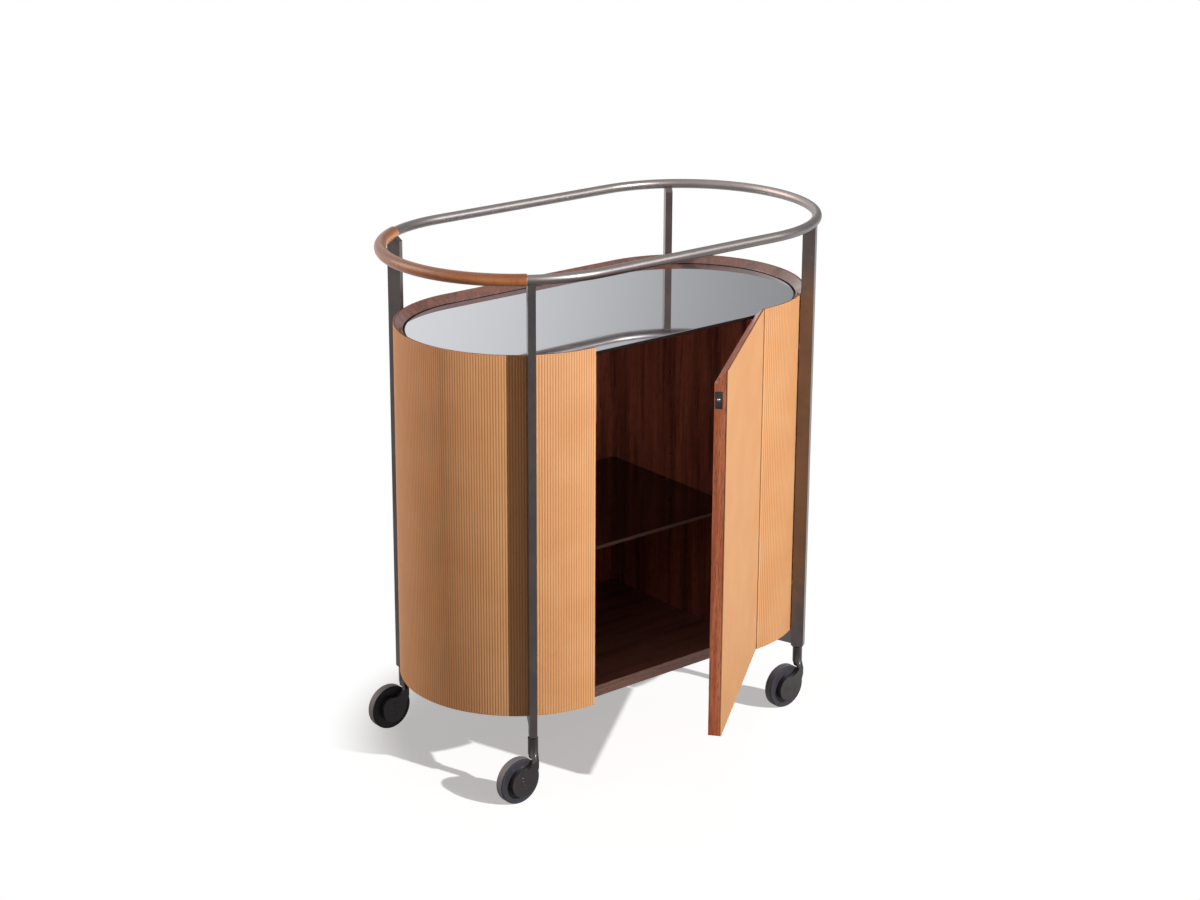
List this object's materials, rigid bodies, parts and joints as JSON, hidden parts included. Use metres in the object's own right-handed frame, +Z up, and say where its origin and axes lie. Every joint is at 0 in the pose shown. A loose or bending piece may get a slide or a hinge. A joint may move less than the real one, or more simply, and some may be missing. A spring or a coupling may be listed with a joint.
{
  "type": "cheese trolley",
  "caption": "Oval cabinet trolley clad in ribbed tan leather, with a glass top, one hinged door, a round metal rail on flat uprights and swivelling casters.",
  "frame": {"origin": "on the ground that the tyres stand on, under the middle of the oval plan of the cabinet and the rail", "axes": "+Z up; X along the long axis of the oval, with the wrapped hand grip at -X and the door hinge towards +X; the door faces -Y"},
  "size_m": [0.7997, 0.6316, 0.8598],
  "materials": {
    "bronzed_steel": "satin, burnished bronze",
    "tan_leather": "saddle leather with fine pressed ribs",
    "walnut": "satin lacquer, straight upright grain",
    "beech": "raw",
    "smoked_glass": "polished, grey tint",
    "clear_glass": "polished",
    "soft_pad": "matt",
    "black_metal": "satin black",
    "bright_steel": "polished",
    "plain_steel": "zinc plated",
    "black_housing": "satin black, cast",
    "black_nylon": "matt",
    "grey_tyre": "matt"
  },
  "bodies": {
    "cabinet": {"rail_hoop": "bronzed_steel", "leather_grip": "tan_leather", "post_front_left": "bronzed_steel", "post_front_right": "bronzed_steel", "post_rear_left": "bronzed_steel", "post_rear_right": "bronzed_steel", "bracket_front_left": "bronzed_steel", "bracket_front_right": "bronzed_steel", "bracket_rear_left": "bronzed_steel", "bracket_rear_right": "bronzed_steel", "post_washers": "bronzed_steel", "post_screws": "plain_steel", "bracket_screws": "plain_steel", "left_shell": "walnut", "right_shell": "walnut", "rear_wall": "walnut", "left_leather": "tan_leather", "right_leather": "tan_leather", "rear_leather": "tan_leather", "floor_panel": "walnut", "left_partition": "walnut", "right_partition": "walnut", "back_panel": "walnut", "partition_dowels": "beech", "glass_ledges": "walnut", "glass_pads": "soft_pad", "glass_top": "smoked_glass", "glass_shelf": "clear_glass", "shelf_pins": "bright_steel", "strike_plate": "black_metal", "hinge_leaf_cabinet": "bronzed_steel", "hinge_pin": "plain_steel", "hinge_screws_cabinet": "plain_steel"},
    "door": {"door_panel": "walnut", "door_leather": "tan_leather", "hinge_leaf_door": "bronzed_steel", "hinge_screws_door": "plain_steel", "catch_body": "black_metal", "catch_spring": "plain_steel"},
    "catch_ball": {"catch_ball": "bright_steel"},
    "caster_front_left": {"caster_housing_front_left": "black_housing", "swivel_pin_front_left": "plain_steel", "axle_front_left": "plain_steel"},
    "wheel_front_left": {"wheel_front_left": "black_nylon", "tyre_front_left": "grey_tyre"},
    "caster_front_right": {"caster_housing_front_right": "black_housing", "swivel_pin_front_right": "plain_steel", "axle_front_right": "plain_steel"},
    "wheel_front_right": {"wheel_front_right": "black_nylon", "tyre_front_right": "grey_tyre"},
    "caster_rear_left": {"caster_housing_rear_left": "black_housing", "swivel_pin_rear_left": "plain_steel", "axle_rear_left": "plain_steel"},
    "wheel_rear_left": {"wheel_rear_left": "black_nylon", "tyre_rear_left": "grey_tyre"},
    "caster_rear_right": {"caster_housing_rear_right": "black_housing", "swivel_pin_rear_right": "plain_steel", "axle_rear_right": "plain_steel"},
    "wheel_rear_right": {"wheel_rear_right": "black_nylon", "tyre_rear_right": "grey_tyre"}
  },
  "joints": [
    {"name": "door_hinge", "type": "hinge", "parent": "cabinet", "child": "door", "pos_m": [0.172, -0.1944, 0.133], "axis": [0, 0, 1], "range_deg": [-38.5, 66.5]},
    {"name": "catch_press", "type": "slide", "parent": "door", "child": "catch_ball", "axis": [-0.7826, -0.6225, 0], "range_m": [-0.0025, 0], "stiffness_N_per_m": 1500, "springref_m": 0.002},
    {"name": "swivel_front_left", "type": "hinge", "parent": "cabinet", "child": "caster_front_left", "pos_m": [-0.28707, -0.17799, 0.1025], "axis": [0, 0, 1], "continuous": true},
    {"name": "roll_front_left", "type": "hinge", "parent": "caster_front_left", "child": "wheel_front_left", "pos_m": [-0.31757, -0.17799, 0.0375], "axis": [0, 1, 0], "continuous": true},
    {"name": "swivel_front_right", "type": "hinge", "parent": "cabinet", "child": "caster_front_right", "pos_m": [0.28707, -0.17799, 0.1025], "axis": [0, 0, 1], "continuous": true},
    {"name": "roll_front_right", "type": "hinge", "parent": "caster_front_right", "child": "wheel_front_right", "pos_m": [0.25657, -0.17799, 0.0375], "axis": [0, 1, 0], "continuous": true},
    {"name": "swivel_rear_left", "type": "hinge", "parent": "cabinet", "child": "caster_rear_left", "pos_m": [-0.28707, 0.17799, 0.1025], "axis": [0, 0, 1], "continuous": true},
    {"name": "roll_rear_left", "type": "hinge", "parent": "caster_rear_left", "child": "wheel_rear_left", "pos_m": [-0.31757, 0.17799, 0.0375], "axis": [0, 1, 0], "continuous": true},
    {"name": "swivel_rear_right", "type": "hinge", "parent": "cabinet", "child": "caster_rear_right", "pos_m": [0.28707, 0.17799, 0.1025], "axis": [0, 0, 1], "continuous": true},
    {"name": "roll_rear_right", "type": "hinge", "parent": "caster_rear_right", "child": "wheel_rear_right", "pos_m": [0.25657, 0.17799, 0.0375], "axis": [0, 1, 0], "continuous": true}
  ]
}
